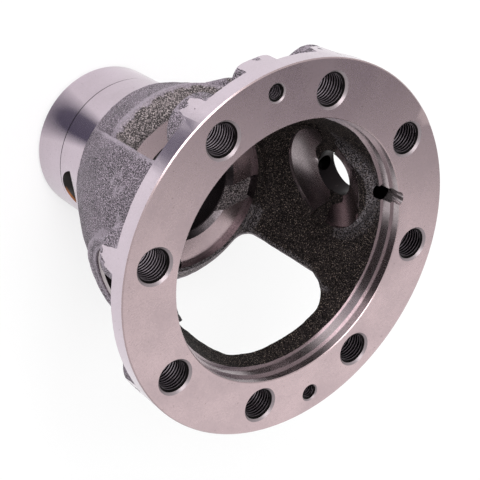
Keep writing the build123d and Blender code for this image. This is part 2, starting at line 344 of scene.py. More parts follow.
def tool_marks():
    """Marks that a turning or boring tool leaves: fine lines and slower bands across the cut."""
    tree, given, made = new_group(
        "tool_marks",
        [("Across", FLOAT, 0.0), ("Around", FLOAT, 0.0), ("Pitch", FLOAT, 0.001)],
        [("Height", FLOAT), ("Bands", FLOAT)],
    )
    across = calc(tree, "DIVIDE", given.outputs[0], given.outputs[2])
    around = calc(tree, "MULTIPLY", given.outputs[1], 1.3)
    fine = add_node(tree, "ShaderNodeCombineXYZ", X=across, Y=around).outputs[0]
    slow_across = calc(tree, "MULTIPLY", across, 0.14)
    slow_around = calc(tree, "MULTIPLY", around, 0.4)
    slow = add_node(tree, "ShaderNodeCombineXYZ", X=slow_across, Y=slow_around).outputs[0]
    bands = ramp(tree, noise(tree, slow, 1.0), 0.3, 0.7)
    fill_outputs(tree, made, (noise(tree, fine, 1.0, roughness=0.6), bands))


def smudges():
    """Soft stains on bare metal, a few small pits, and a fine unevenness of 0.55 mm."""
    tree, given, made = new_group(
        "smudges", [("Place", VECTOR, None), ("Size", FLOAT, 0.02)], [("Dull", FLOAT), ("Pits", FLOAT), ("Fine", FLOAT)]
    )
    place, size = given.outputs[:2]
    stains = noise(tree, place, calc(tree, "DIVIDE", 1.0, size), detail=4.0, roughness=0.55)
    pits = noise(tree, place, calc(tree, "DIVIDE", 18.0, size), detail=1.0)
    fine = noise(tree, place, 1.0 / (0.55 * MM), roughness=0.6)
    fill_outputs(tree, made, (ramp(tree, stains, 0.38, 0.68), ramp(tree, pits, 0.72, 0.78), fine))


GROUP_MAKERS = {maker.__name__: maker for maker in (axle_places, pin_places, sand_grain, tool_marks, smudges)}


# Materials


def shade(colour, share):
    """This colour with only a share of its light."""
    return tuple(share * value for value in colour)


def new_material(name):
    """A material with its Principled shader and Object coordinates."""
    material = bpy.data.materials.new(name)
    material.use_nodes = True
    tree = material.node_tree
    place = tree.nodes.new("ShaderNodeTexCoord").outputs["Object"]
    return material, tree, tree.nodes["Principled BSDF"], place


def set_bump(tree, shader, height, distance):
    bump = add_node(tree, "ShaderNodeBump", Height=height, Distance=distance, Strength=1.0)
    tree.links.new(bump.outputs[0], shader.inputs["Normal"])


def cast_material(name, dark, light, glint, wear_and_painted_light_colour, grain, depth, specular, softness, pit_share):
    """Sand-cast iron: speckled, mottled and rough, with painted glints as bright specks, and lighter on rubbed edges,
    which carry a painted highlight, and in painted pools of light.

    pit_share is how much of the lighter colour reaches the pits of the grain.
    """
    material, tree, shader, place = new_material(name)
    worn = add_node(tree, "ShaderNodeAttribute", {"attribute_name": "worn"}).outputs["Fac"]
    skin = use_group(tree, "sand_grain", Place=place, Grain=grain, Mottle=14 * MM, Softness=softness)
    mottle, speckle, specks = skin["Mottle"], skin["Speckle"], skin["Glint"]

    tone = calc(tree, "MULTIPLY_ADD", mottle, 0.22, calc(tree, "MULTIPLY", speckle, 0.78))
    colour = blend(tree, specks, blend(tree, tone, dark, light), glint)
    # Lighter where wear and painted light are marked: rubbed ridges with their painted highlight, the inner window rims
    # and the pool of light over the seats.
    wear_and_painted_light_share = calc(tree, "MULTIPLY", ramp(tree, worn, 0.2, 0.9), ramp(tree, mottle, 0.0, 1.0, start=0.6, end=0.95))
    cover = calc(tree, "MULTIPLY", wear_and_painted_light_share, ramp(tree, speckle, 0.0, 1.0, start=pit_share, end=1.0))
    tree.links.new(blend(tree, cover, colour, wear_and_painted_light_colour), shader.inputs["Base Color"])
    tree.links.new(ramp(tree, specks, 0.0, 1.0, start=0.66, end=0.42), shader.inputs["Roughness"])
    shader.inputs["Metallic"].default_value = 0.15
    shader.inputs["Specular IOR Level"].default_value = specular
    flattening = calc(tree, "MULTIPLY_ADD", wear_and_painted_light_share, -0.75, 1.0)
    set_bump(tree, shader, calc(tree, "MULTIPLY", skin["Height"], flattening), depth)
    return material


# What a tool's marks run across: the node group and its output
MEASURES = {
    "radius": ("axle_places", "Radius"),
    "height": ("axle_places", "Height"),
    "angle": ("axle_places", "Angle"),
    "pin radius": ("pin_places", "Radius"),
    "pin length": ("pin_places", "Along"),
}
PIT_COLOUR = (0.16, 0.12, 0.11)


def machined_material(name, light, dark, across, roughness, depth, stain_size=20 * MM, metallic=1.0):
    """Bare machined iron with fine tool marks across this measure, and soft duller patches."""
    material, tree, shader, place = new_material(name)
    group, output = MEASURES[across]
    places = use_group(tree, group, Place=place)
    measure = places[output]
    if across == "angle":
        measure = calc(tree, "MULTIPLY", measure, 16 * MM)
    marks = use_group(tree, "tool_marks", Across=measure, Around=places["Angle"], Pitch=0.35 * MM)
    stains = use_group(tree, "smudges", Place=place, Size=stain_size)

    tone = calc(tree, "MULTIPLY_ADD", marks["Bands"], 0.12, calc(tree, "MULTIPLY", stains["Dull"], 0.5))
    tone = calc(tree, "MULTIPLY_ADD", stains["Fine"], 1.1, calc(tree, "SUBTRACT", tone, 0.3), clamp=True)
    pitted = calc(tree, "MULTIPLY", stains["Pits"], 0.35)
    colour = blend(tree, pitted, blend(tree, tone, light, dark), PIT_COLOUR)
    tree.links.new(colour, shader.inputs["Base Color"])
    rough = calc(tree, "MULTIPLY_ADD", stains["Dull"], 0.06, roughness)
    tree.links.new(calc(tree, "MULTIPLY_ADD", stains["Fine"], 0.1, rough), shader.inputs["Roughness"])
    shader.inputs["Metallic"].default_value = metallic
    set_bump(tree, shader, marks["Height"], depth)
    return material


def pocket_material(rust):
    """Milled pocket, near black, with thin rust along one side of its mouth."""
    material, tree, shader, place = new_material("pocket_iron")
    stains = use_group(tree, "smudges", Place=place, Size=5 * MM)
    places = use_group(tree, "axle_places", Place=place)
    at_mouth = ramp(tree, places["Radius"], 29.5 * MM, 30.0 * MM)
    rusty = calc(tree, "MULTIPLY", at_mouth, ramp(tree, places["Angle"], 0.05, 0.12))
    rusty = calc(tree, "MULTIPLY", rusty, ramp(tree, stains["Dull"], 0.0, 1.0, start=0.5, end=1.0))
    tree.links.new(blend(tree, rusty, (0.012, 0.009, 0.01), rust), shader.inputs["Base Color"])
    tree.links.new(ramp(tree, rusty, 0.0, 1.0, start=0.4, end=0.75), shader.inputs["Roughness"])
    shader.inputs["Specular IOR Level"].default_value = 0.3
    set_bump(tree, shader, stains["Fine"], 0.05 * MM)
    return material


def tapped_material(colours):
    """Tapped iron, light at the crests and painted black below them as the shade deep in the thread, made once for both
    sizes of hole.
    """
    if "tapped_iron" in bpy.data.materials:
        return bpy.data.materials["tapped_iron"]
    material, tree, shader, place = new_material("tapped_iron")
    crest = add_node(tree, "ShaderNodeAttribute", {"attribute_name": "crest"}).outputs["Fac"]
    stains = use_group(tree, "smudges", Place=place, Size=6 * MM)
    bright = shade(colours.turned_light, 0.48)
    # Painted shade: all but the crest tips is black.
    colour = blend(tree, ramp(tree, crest, 0.86, 1.0), (0.008, 0.007, 0.007), bright)
    tree.links.new(colour, shader.inputs["Base Color"])
    tree.links.new(ramp(tree, stains["Dull"], 0.0, 1.0, start=0.28, end=0.42), shader.inputs["Roughness"])
    shader.inputs["Metallic"].default_value = 1.0
    set_bump(tree, shader, stains["Fine"], 0.02 * MM)
    return material


def case_materials(colours):
    """The body's materials, in the order of the finishes."""
    faced = (colours.faced_light, colours.faced_dark)
    turned = (colours.turned_light, colours.turned_dark)
    ring = (colours.ring_light, colours.ring_dark)
    seat = (shade(colours.ring_light, 0.86), shade(colours.ring_dark, 0.6))
    # Painted shade: the bore's dark colour, and a far darker share of it.
    shaded_bore = (colours.shaded_bore, shade(colours.shaded_bore, 0.25))
    # Painted shade: near-black iron for the walls of the tapped holes, the cross-pin bore, the lock-pin hole and the
    # groove round the hub.
    hole = (0.016, 0.013, 0.014)
    edge = (0.30, 0.255, 0.27)
    # Painted highlight and shade: the lock-pin groove's iron runs from a pale colour to near black.
    groove = ((0.7, 0.61, 0.63), (0.06, 0.05, 0.052))
    fine_cut, clean_cut = 0.003 * MM, 0.002 * MM
    return (
        cast_material(
            "outer_skin", colours.skin_dark, colours.skin_light, glint=(0.66, 0.58, 0.65), wear_and_painted_light_colour=colours.wear_and_painted_light_colour,
            grain=0.52 * MM, depth=0.6 * MM, specular=0.4, softness=0.05, pit_share=0.7,
        ),
        # Painted shade: a far darker copy of the outer skin for the hollow inside the case.
        cast_material(
            "shaded_hollow_skin", colours.shaded_hollow_dark, colours.shaded_hollow_light, glint=(0.26, 0.205, 0.175),
            # Painted light: the colour of the pool of light over the seats and of the highlight on the inner window
            # rims.
            wear_and_painted_light_colour=(0.20, 0.18, 0.195), grain=0.6 * MM, depth=0.5 * MM, specular=0.05, softness=0.06, pit_share=0.05,
        ),
        cast_material(
            "coarse_skin", colours.coarse_dark, colours.coarse_light, glint=(0.62, 0.53, 0.52), wear_and_painted_light_colour=colours.wear_and_painted_light_colour,
            grain=0.7 * MM, depth=0.6 * MM, specular=0.3, softness=0.05, pit_share=0.7,
        ),
        machined_material("faced_iron", *faced, across="radius", roughness=0.2, depth=fine_cut),
        machined_material("turned_iron", *turned, across="height", roughness=0.09, depth=clean_cut),
        machined_material(
            "bored_iron", *shaded_bore, across="pin length", roughness=0.16, depth=fine_cut, stain_size=6 * MM
        ),
        machined_material("seat_iron", *seat, across="pin radius", roughness=0.12, depth=clean_cut),
        pocket_material(colours.rust),
        machined_material("hole_iron", hole, hole, across="height", roughness=0.3, depth=fine_cut),
        machined_material("ring_iron", *ring, across="height", roughness=0.17, depth=fine_cut),
        machined_material("edge_iron", edge, edge, across="height", roughness=0.34, depth=fine_cut, metallic=0.7),
        machined_material("groove_iron", *groove, across="angle", roughness=0.2, depth=0.1 * MM, metallic=0.92),
    )


# Modelling helpers


def deselect_all():
    if bpy.context.object and bpy.context.object.mode != "OBJECT":
        bpy.ops.object.mode_set(mode="OBJECT")
    bpy.ops.object.select_all(action="DESELECT")


def make_active(piece):
    deselect_all()
    piece.select_set(True)
    bpy.context.view_layer.objects.active = piece


def apply_modifier(piece, kind, name, **settings):
    make_active(piece)
    modifier = piece.modifiers.new(name, kind)
    for key, value in settings.items():
        setattr(modifier, key, value)
    bpy.ops.object.modifier_apply(modifier=modifier.name)


def select_only(mesh, kind, chosen):
    """Selects the chosen "edges" or "polygons" of the mesh and nothing else."""
    bpy.context.tool_settings.mesh_select_mode = (False, kind == "edges", kind == "polygons")
    for part in ("vertices", "edges", "polygons"):
        items = getattr(mesh, part)
        items.foreach_set("select", chosen if part == kind else np.zeros(len(items), bool))


def end_in_triangles():
    """Cuts every face into triangles and leaves edit mode."""
    bpy.ops.mesh.select_all(action="SELECT")
    bpy.ops.mesh.quads_convert_to_tris()
    bpy.ops.object.mode_set(mode="OBJECT")


def read_mesh(mesh):
    """Vertex places, triangle corners and finishes as arrays."""
    points = np.empty(len(mesh.vertices) * 3)
    mesh.vertices.foreach_get("co", points)
    corners = np.empty(len(mesh.loops), np.int64)
    mesh.loops.foreach_get("vertex_index", corners)
    finish = np.empty(len(mesh.polygons), np.int64)
    mesh.polygons.foreach_get("material_index", finish)
    return points.reshape(-1, 3), corners.reshape(-1, 3), finish


def read_edges(mesh):
    """Both ends of each edge, and the three edges of each triangle, as arrays."""
    ends = np.empty(len(mesh.edges) * 2, np.int64)
    mesh.edges.foreach_get("vertices", ends)
    sides = np.empty(len(mesh.loops), np.int64)
    mesh.loops.foreach_get("edge_index", sides)
    return ends.reshape(-1, 2), sides.reshape(-1, 3)


def face_normals(points, corners):
    """Unit normals and areas of the triangles."""
    first, second, third = (points[corners[:, k]] for k in range(3))
    normals = np.cross(second - first, third - first)
    size = np.linalg.norm(normals, axis=1)
    return normals / np.maximum(size, 1e-20)[:, None], size / 2


def between(values, bounds):
    return (values > bounds[0]) & (values < bounds[1])


def near(values, targets, tolerance):
    return np.min([np.abs(values - target) for target in targets], axis=0) < tolerance


def ring_places(radius, count, first_angle):
    angles = [first_angle + 2 * pi * k / count for k in range(count)]
    return [(radius * cos(angle), radius * sin(angle)) for angle in angles]


BOLT_PLACES = ring_places(BOLT_CIRCLE, 8, radians(22.5))
JACK_PLACES = ring_places(JACK_CIRCLE, 2, radians(90))


# Finishes of the body


class Facets:
    """Where each triangle of the case lies, in millimetres, and how it leans, as cosines."""

    def __init__(self, points, corners):
        self.normals, _ = face_normals(points, corners)
        self.middle = points[corners].mean(axis=1) / MM
        self.x, self.y, self.height = self.middle.T
        spots = points[corners] / MM

        # About the axle axis
        self.radius = np.hypot(self.x, self.y)
        self.corner_radius = np.hypot(spots[..., 0], spots[..., 1]).mean(axis=1)
        self.rise = np.abs(self.normals[:, 2])
        self.outward = (self.middle[:, :2] * self.normals[:, :2]).sum(axis=1) / np.maximum(self.radius, TINY)

        # About the hollow's centre
        from_centre = self.middle - CENTRE
        self.reach = np.linalg.norm(from_centre, axis=1)
        self.corner_reach = np.linalg.norm(spots - CENTRE, axis=2).mean(axis=1)
        self.off_centre = (from_centre * self.normals).sum(axis=1) / np.maximum(self.reach, TINY)

        # About the cross-pin axis
        above_pin = self.height - PIN_HEIGHT
        self.pin_radius = np.hypot(self.y, above_pin)
        self.corner_pin_radius = np.hypot(spots[..., 1], spots[..., 2] - PIN_HEIGHT).mean(axis=1)
        off_pin = self.y * self.normals[:, 1] + above_pin * self.normals[:, 2]
        self.off_pin = off_pin / np.maximum(self.pin_radius, TINY)

    def by_window(self, least_side):
        """Triangles round a window that lie at least this far from the plane through both axes."""
        across = (np.abs(self.y) > least_side) & (np.abs(self.x) < WINDOW_HALF_WIDTH)
        return across & between(self.height, WINDOW_HEIGHTS)


def skin_finishes(at, finish):
    """Skin of the hollow, and the coarse skin of window walls, of oil grooves and beside the thrust ring."""
    in_mouth = (at.radius < MOUTH_SKIN_RADIUS) & (at.height > PIN_HEIGHT)
    at_foot = (at.radius < FOOT_SKIN_RADIUS) & (at.height > FOOT_SKIN_HEIGHT)
    finish[(at.reach < HOLLOW_REACH) | in_mouth | at_foot] = HOLLOW_SKIN

    wall = (np.abs(at.off_centre) < WINDOW_LEAN) & between(at.reach, WINDOW_REACH)
    finish[wall & at.by_window(WINDOW_SIDE)] = COARSE_SKIN
    by_ring = between(at.height, RING_SKIN_HEIGHTS) & (at.radius < RING_SKIN_RADIUS)
    finish[by_ring & ((at.radius < OIL_GROOVE_RADIUS) | (at.y < COARSE_RING_SIDE))] = COARSE_SKIN


def turned_finishes(at, finish):
    """Faces and walls turned about the axle axis."""
    level = at.rise > LEVEL
    faced = level & near(at.height, MACHINED_HEIGHTS, FACE_SLACK)
    faced |= (at.height > FACE_HEIGHT - 1) & (at.rise > CHAMFER) & (at.radius > REGISTER_RADIUS - 0.5)
    finish[faced] = FACED

    wall = at.rise < STEEP
    turned = wall & near(at.corner_radius, MACHINED_RADII, WALL_SLACK) & (np.abs(at.outward) > SQUARE)
    turned |= wall & between(at.corner_radius, RELIEF_RADII) & (at.outward < -RELIEF_SQUARE)
    turned |= (at.height < SHOULDER_HEIGHT + 0.01) & (at.radius > 29)
    turned |= (at.height < THRUST_HEIGHT + 0.1) & (at.radius < BORE_RADIUS + 2.2)
    finish[turned & ~faced] = TURNED
    finish[turned & wall & (at.radius > FLANGE_RADIUS - 0.5) & (at.height < FLANGE_REAR - 0.1)] = PATCH
    finish[turned & (at.radius < BORE_RADIUS + 1.95) & between(at.height, (1.3, 59.9))] = BORED
    finish[level & between(at.radius, (30.4, 35.1)) & near(at.height, (SHOULDER_HEIGHT,), FACE_SLACK)] = FACED
    return turned & wall


def bore_finishes(at, finish, turned_wall):
    """Spot faces, cross-pin bore, lock-pin hole, and the duller turned iron inside the case."""
    spot = near(np.abs(at.x), (SPOT_DISTANCE,), FACE_SLACK) & (np.abs(at.normals[:, 0]) > LEVEL)
    finish[spot & (at.pin_radius < SPOT_RADIUS)] = SEAT
    pin_bore = near(at.corner_pin_radius, (PIN_RADIUS,), WALL_SLACK) & (at.off_pin < -BORE_SQUARE)
    lock_hole = np.hypot(at.x + LOCK_CIRCLE, at.y) < LOCK_RADIUS
    finish[pin_bore | (lock_hole & (at.height > LOCK_FOOT))] = TAPPED

    finish[(at.corner_radius < BORE_RADIUS + WALL_SLACK) & between(at.height, BRIGHT_LIP)] = RING
    finish[(finish == TURNED) & (at.radius < 49) & (at.height > 57)] = RING
    finish[(finish == FACED) & (at.radius < 48.6) & between(at.height, (100, 121))] = RING
    finish[lock_hole & (at.height > LEDGE_HEIGHT)] = GROOVED
    finish[turned_wall & between(at.radius, (30, 33)) & (at.height > 57)] = BORED
    finish[between(at.radius, (29, 30.4)) & near(at.height, (HUB_GROOVE_HEIGHT,), 0.36)] = TAPPED


def seat_finishes(at, finish):
    """Spherical washer seats and the short walls round them."""
    in_seat = at.corner_pin_radius < SEAT_RADIUS + HOLE_SLACK
    seat = near(at.corner_reach, (SEAT_SPHERE,), SPHERE_SLACK) & in_seat & (at.off_centre < -SQUARE)
    round_seat = near(at.corner_pin_radius, (SEAT_RADIUS,), HOLE_SLACK) & (at.off_pin < -BORE_SQUARE)
    seat |= round_seat & (np.abs(at.x) < SEAT_REACH)
    finish[seat & (at.pin_radius > PIN_RADIUS)] = SEAT


def hole_finishes(at, finish):
    """Walls and chamfers of the tapped holes, and the half-moon pocket in the hub."""
    for places, reach in ((BOLT_PLACES, BOLT_HOLE_REACH), (JACK_PLACES, JACK_HOLE_REACH)):
        for x, y in places:
            away = np.hypot(at.x - x, at.y - y)
            facing = (at.x - x) * at.normals[:, 0] + (at.y - y) * at.normals[:, 1]
            facing = facing / np.maximum(away, TINY)
            finish[(away < reach) & (facing < -0.4) & (at.height > HOLE_FOOT)] = EDGED
            in_hole = (away < reach - HOLE_CHAMFER_WIDTH) & between(at.height, (HOLE_FOOT, HOLE_CHAMFER_FOOT))
            finish[in_hole] = TAPPED

    in_pocket = (at.x > 20) & (np.hypot(at.y, at.height - POCKET_HEIGHT) < POCKET_REACH)
    finish[in_pocket & (at.height < SHOULDER_HEIGHT) & between(at.radius, (25, 30.45))] = POCKET


def find_finishes(points, corners):
    """The finish of each triangle, from where it lies on the case. Later finishes go over earlier ones."""
    at = Facets(points, corners)
    finish = np.full(len(corners), OUTER_SKIN)
    skin_finishes(at, finish)
    turned_wall = turned_finishes(at, finish)
    bore_finishes(at, finish, turned_wall)
    seat_finishes(at, finish)
    hole_finishes(at, finish)
    return finish


# Shape of the body


def thin_rim(mesh):
    """Narrows the rim's chamfer to the thin bright line that it makes."""
    face, rim = FACE_HEIGHT * MM, FLANGE_RADIUS * MM
    chamfer, slack = 1.1 * MM, 0.01 * MM
    for vertex in mesh.vertices:
        radius, height = vertex.co.xy.length, vertex.co.z
        if radius > rim - chamfer and abs(height - face) < slack:
            vertex.co.xy *= (rim - RIM_SHARE * (rim - radius)) / radius
        elif abs(radius - rim) < slack and height > face - chamfer:
            vertex.co.z = face - RIM_SHARE * (face - height)


def part_bore(piece, x, reach, height):
    """Cuts the long faces of an upright bore at this height, so that each part gets its own finish."""
    points, corners, _ = read_mesh(piece.data)
    middle = points[corners].mean(axis=1) / MM
    select_only(piece.data, "polygons", np.hypot(middle[:, 0] - x, middle[:, 1]) < reach)
    bpy.ops.object.mode_set(mode="EDIT")
    bpy.ops.mesh.bisect(plane_co=(0, 0, height * MM), plane_no=(0, 0, 1))
    end_in_triangles()


def refine_skin(piece, longest):
    """Halves the long edges of the cast skin until none is longer than this, or than half of it in a patch."""
    most_rounds = 8
    mesh = piece.data
    for _ in range(most_rounds):
        points, _, finish = read_mesh(mesh)
        ends, sides = read_edges(mesh)
        length = np.linalg.norm(points[ends[:, 0]] - points[ends[:, 1]], axis=1)
        limit = np.full(len(mesh.edges), np.inf)
        limit[sides[finish <= LAST_SKIN].ravel()] = longest
        limit[sides[finish == PATCH].ravel()] = 0.5 * longest
        if not (length > limit).any():
            break
        select_only(mesh, "edges", length > limit)
        bpy.ops.object.mode_set(mode="EDIT")
        bpy.ops.mesh.subdivide(number_cuts=1)
        end_in_triangles()


def ragged_patches(piece):
    """Leaves cast skin in the turned patches of the bosses, where the cutter didn't reach it."""
    patch_depth, border_wander, border_size = 6.8, 4.5, 3.6 * MM
    spot_size, spot_limit = 2.6 * MM, 0.56
    points, corners, finish = read_mesh(piece.data)
    middle = points[corners].mean(axis=1)
    for k in np.flatnonzero(finish == PATCH):
        place = Vector(middle[k])
        below = FLANGE_REAR - middle[k, 2] / MM
        beyond = below + border_wander * noise_at(place / border_size) > patch_depth
        finish[k] = OUTER_SKIN if beyond or noise_at(place / spot_size) > spot_limit else TURNED
    piece.data.polygons.foreach_set("material_index", finish.astype(np.int32))


def even_skin(piece):
    """Turns edges inside the cast skin so that its triangles are less thin."""
    _, _, finish = read_mesh(piece.data)
    select_only(piece.data, "polygons", finish <= LAST_SKIN)
    bpy.ops.object.mode_set(mode="EDIT")
    bpy.ops.mesh.beautify_fill(angle_limit=radians(12))
    bpy.ops.object.mode_set(mode="OBJECT")


def bent_edges(at, sides, finish):
    """Edges of the outer skin across which it turns by more than 14 degrees."""
    triangle = np.repeat(np.arange(len(sides)), 3)
    order = np.argsort(sides.ravel(), kind="stable")
    edges, triangle = sides.ravel()[order], triangle[order]
    pair = np.flatnonzero(edges[:-1] == edges[1:])
    first, second = triangle[pair], triangle[pair + 1]
    outer = (finish[first] == OUTER_SKIN) & (finish[second] == OUTER_SKIN)
    bent = outer & ((at.normals[first] * at.normals[second]).sum(axis=1) < cos(radians(14)))
    return edges[pair[bent]]


def mark_wear_and_painted_light(piece):
    """Point attribute of rubbed wear and painted light: wear with a painted highlight on the skin's ridges and the
    windows' outer rims, a painted highlight on the windows' inner rims, and a painted pool of light over the seats.
    """
    mesh = piece.data
    points, corners, finish = read_mesh(mesh)
    ends, sides = read_edges(mesh)
    at = Facets(points, corners)
    worn = np.zeros(len(points), np.float32)
    # Ridges and outer window rims: rubbed wear, also lighter as a painted highlight.
    worn[ends[bent_edges(at, sides, finish)].ravel()] = 1.0

    lean = np.abs(at.off_centre)
    rim = (finish == OUTER_SKIN) & between(lean, (0.42, 0.9)) & between(at.reach, (47, 57))
    worn[corners[rim & at.by_window(WINDOW_SIDE)].ravel()] = 1.0
    # Inner window rims in the hollow: a painted highlight.
    inner_rim = (finish == HOLLOW_SKIN) & between(lean, (0.2, 0.94)) & between(at.reach, (43.8, 46.6))
    worn[corners[inner_rim & at.by_window(WINDOW_INNER_SIDE)].ravel()] = 0.75
    spread = 0.8 * worn[ends].max(axis=1)
    np.maximum.at(worn, ends[:, 0], spread)
    np.maximum.at(worn, ends[:, 1], spread)

    # A painted pool of light on the hollow's skin over the washer seats, fading away from them.
    inner_radius, outer_radius, fade = 19.8, 27, 6
    pin_radius = np.hypot(points[:, 1], points[:, 2] - PIN_HEIGHT * MM) / MM
    painted_light_over_seat = (np.abs(points[:, 0]) > 38 * MM) & (pin_radius > inner_radius) & (points[:, 2] > 97 * MM)
    in_hollow = np.zeros(len(points), bool)
    in_hollow[corners[finish == HOLLOW_SKIN].ravel()] = True
    painted_light_over_seat &= in_hollow
    worn[painted_light_over_seat] = np.clip((outer_radius - pin_radius[painted_light_over_seat]) / fade, 0, 1)
    mesh.attributes.new("worn", "FLOAT", "POINT").data.foreach_set("value", worn)


def split_vertices(points, corners, finish):
    """Which vertices touch the skin and which touch machined faces, with the mean normal of each side."""
    normals, areas = face_normals(points, corners)
    sides = []
    for chosen in (finish <= LAST_SKIN, finish > LAST_SKIN):
        total = np.zeros_like(points)
        for k in range(3):
            np.add.at(total, corners[chosen, k], normals[chosen] * areas[chosen, None])
        size = np.linalg.norm(total, axis=1)
        touched = np.zeros(len(points), bool)
        touched[corners[chosen].ravel()] = True
        sides.append((touched, total / np.maximum(size, 1e-20)[:, None]))
    return sides


def roughen_skin(piece, shape):
    """Swells and grain in the cast skin, with the borders of the machined faces made ragged to match."""
    mesh = piece.data
    points, corners, finish = read_mesh(mesh)
    (in_skin, skin_normals), (in_cut, cut_normals) = split_vertices(points, corners, finish)
    skin_group = piece.vertex_groups.new(name="cast skin")
    skin_group.add([int(k) for k in np.flatnonzero(in_skin & ~in_cut)], 1.0, "REPLACE")

    layers = (("swells", shape.swell_size, shape.swell_depth, 1), ("grain", shape.grain_size, shape.grain_depth, 2))
    border = np.flatnonzero(in_skin & in_cut)
    rise = np.zeros(len(border))
    for name, size, depth, octaves in layers:
        texture = bpy.data.textures.new(name, type="CLOUDS")
        texture.noise_scale = size
        texture.noise_depth = octaves
        rise += [(texture.evaluate(points[k])[3] - 0.5) * depth for k in border]
        apply_modifier(
            piece, "DISPLACE", name, texture=texture, texture_coords="LOCAL", strength=depth, mid_level=0.5,
            vertex_group=skin_group.name,
        )

    # A border vertex slides within its machined face, as far as the skin beside it rises or sinks
    steepest = 0.2
    moved, _, _ = read_mesh(mesh)
    skin, cut = skin_normals[border], cut_normals[border]
    along = skin - (skin * cut).sum(axis=1)[:, None] * cut
    slope = np.linalg.norm(along, axis=1)
    shift = np.clip(rise / np.maximum(slope, steepest), -shape.ragged_limit, shape.ragged_limit)
    moved[border] = points[border] + along / np.maximum(slope, TINY)[:, None] * shift[:, None]
    mesh.vertices.foreach_set("co", moved.ravel())
    mesh.update()
    piece.vertex_groups.clear()


# Shape of the threads


def thread_profile(name, radius, pitch, start):
    """One turn's profile, drawn upward from this height: root, flank, crest and flank."""
    crest = radius - THREAD_DEPTH * pitch
    profile = ((radius, 0.0), (radius, pitch / 8), (crest, pitch * 7 / 16), (crest, pitch * 11 / 16), (radius, pitch))
    bpy.ops.mesh.primitive_plane_add(size=pitch, location=(0, 0, 0))
    piece = bpy.context.object
    piece.name = name
    mesh = bmesh.new()
    corners = [mesh.verts.new((x, 0, start + z)) for x, z in profile]
    for first, second in zip(corners, corners[1:]):
        mesh.edges.new((first, second))
    mesh.to_mesh(piece.data)
    mesh.free()
    return piece


def thread_template(name, radius, pitch, ends, steps, wall):
    """A thread liner on the Z axis: the profile swept up a helix, trimmed at both ends and given a wall."""
    top, foot = (height * MM for height in ends)
    spare_turns, lead = 3, 1.5
    piece = thread_profile(name, radius, pitch, foot - lead * pitch)
    apply_modifier(
        piece, "SCREW", "helix", axis="Z", angle=2 * pi, screw_offset=pitch, steps=steps, render_steps=steps,
        iterations=int((top - foot) / pitch) + spare_turns, use_normal_calculate=True,
    )
    bpy.ops.object.mode_set(mode="EDIT")
    bpy.ops.mesh.select_all(action="SELECT")
    bpy.ops.mesh.remove_doubles(threshold=MERGE_DISTANCE)
    for height, sign in ((top, 1), (foot, -1)):
        bpy.ops.mesh.select_all(action="SELECT")
        bpy.ops.mesh.bisect(plane_co=(0, 0, height), plane_no=(0, 0, sign), clear_outer=True)
    bpy.ops.mesh.select_all(action="SELECT")
    bpy.ops.mesh.normals_make_consistent(inside=True)
    bpy.ops.object.mode_set(mode="OBJECT")

    # The first turn is cut back by the hole's chamfer, which widens by 1 mm for each mm up
    for vertex in piece.data.vertices:
        away = vertex.co.xy.length
        least = radius - (top - vertex.co.z)
        if away < least:
            vertex.co.xy *= least / away
    crest = piece.data.attributes.new("crest", "FLOAT", "POINT")
    for vertex, value in zip(piece.data.vertices, crest.data):
        value.value = (radius - vertex.co.xy.length) / (THREAD_DEPTH * pitch)
    apply_modifier(piece, "SOLIDIFY", "wall", thickness=wall, offset=-1.0, use_rim=True)
    return piece


def place_threads(template, places, material):
    """Copies of the thread liner, one in each hole, each with its own mesh. The template is used up."""
    for k, (x, y) in enumerate(places, 1):
        piece = bpy.data.objects.new(f"{template.name}_{k}", template.data.copy())
        bpy.context.collection.objects.link(piece)
        piece.data.transform(Matrix.Translation((x * MM, y * MM, 0)))
        piece.data.materials.append(material)
        make_active(piece)
        bpy.ops.object.shade_smooth_by_angle(angle=radians(30))
        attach(piece, BODY)
    bpy.data.objects.remove(template)


def add_threads(context, name, size, ends, steps, places):
    """A thread of this radius and pitch in each of these holes."""
    deselect_all()
    template = thread_template(name, *size, ends, steps, context.scene.thread_shape.liner_wall)
    place_threads(template, places, tapped_material(context.scene.case_colours))


# Operators


class CASE_OT_body(bpy.types.Operator):
    """Casting with its rough skin and machined faces"""

    bl_idname = "differential_case.body"
    bl_label = "Case Body"

    def execute(self, context):
        shape = context.scene.case_shape
        piece = bpy.data.objects.new("case_body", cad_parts[NODE].data.copy())
        context.collection.objects.link(piece)
        make_active(piece)
        bpy.ops.mesh.customdata_custom_splitnormals_clear()
        bpy.ops.object.mode_set(mode="EDIT")
        bpy.ops.mesh.select_all(action="SELECT")
        bpy.ops.mesh.remove_doubles(threshold=MERGE_DISTANCE)
        bpy.ops.object.mode_set(mode="OBJECT")
        mesh = piece.data
        thin_rim(mesh)
        part_bore(piece, -LOCK_CIRCLE, LOCK_RADIUS, LEDGE_HEIGHT)
        part_bore(piece, 0.0, BORE_RADIUS + HOLE_SLACK, BRIGHT_LIP[0])

        mesh.materials.clear()
        for material in case_materials(context.scene.case_colours):
            mesh.materials.append(material)
        points, corners, _ = read_mesh(mesh)
        mesh.polygons.foreach_set("material_index", find_finishes(points, corners).astype(np.int32))
        refine_skin(piece, shape.skin_edge)
        ragged_patches(piece)
        even_skin(piece)
        mark_wear_and_painted_light(piece)
        roughen_skin(piece, shape)
        apply_modifier(
            piece, "EDGE_SPLIT", "crisp edges", use_edge_angle=True, split_angle=shape.smooth_angle,
            use_edge_sharp=False,
        )
        bpy.ops.object.shade_smooth()
        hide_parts(NODE)
        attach(piece, BODY)
        return {"FINISHED"}


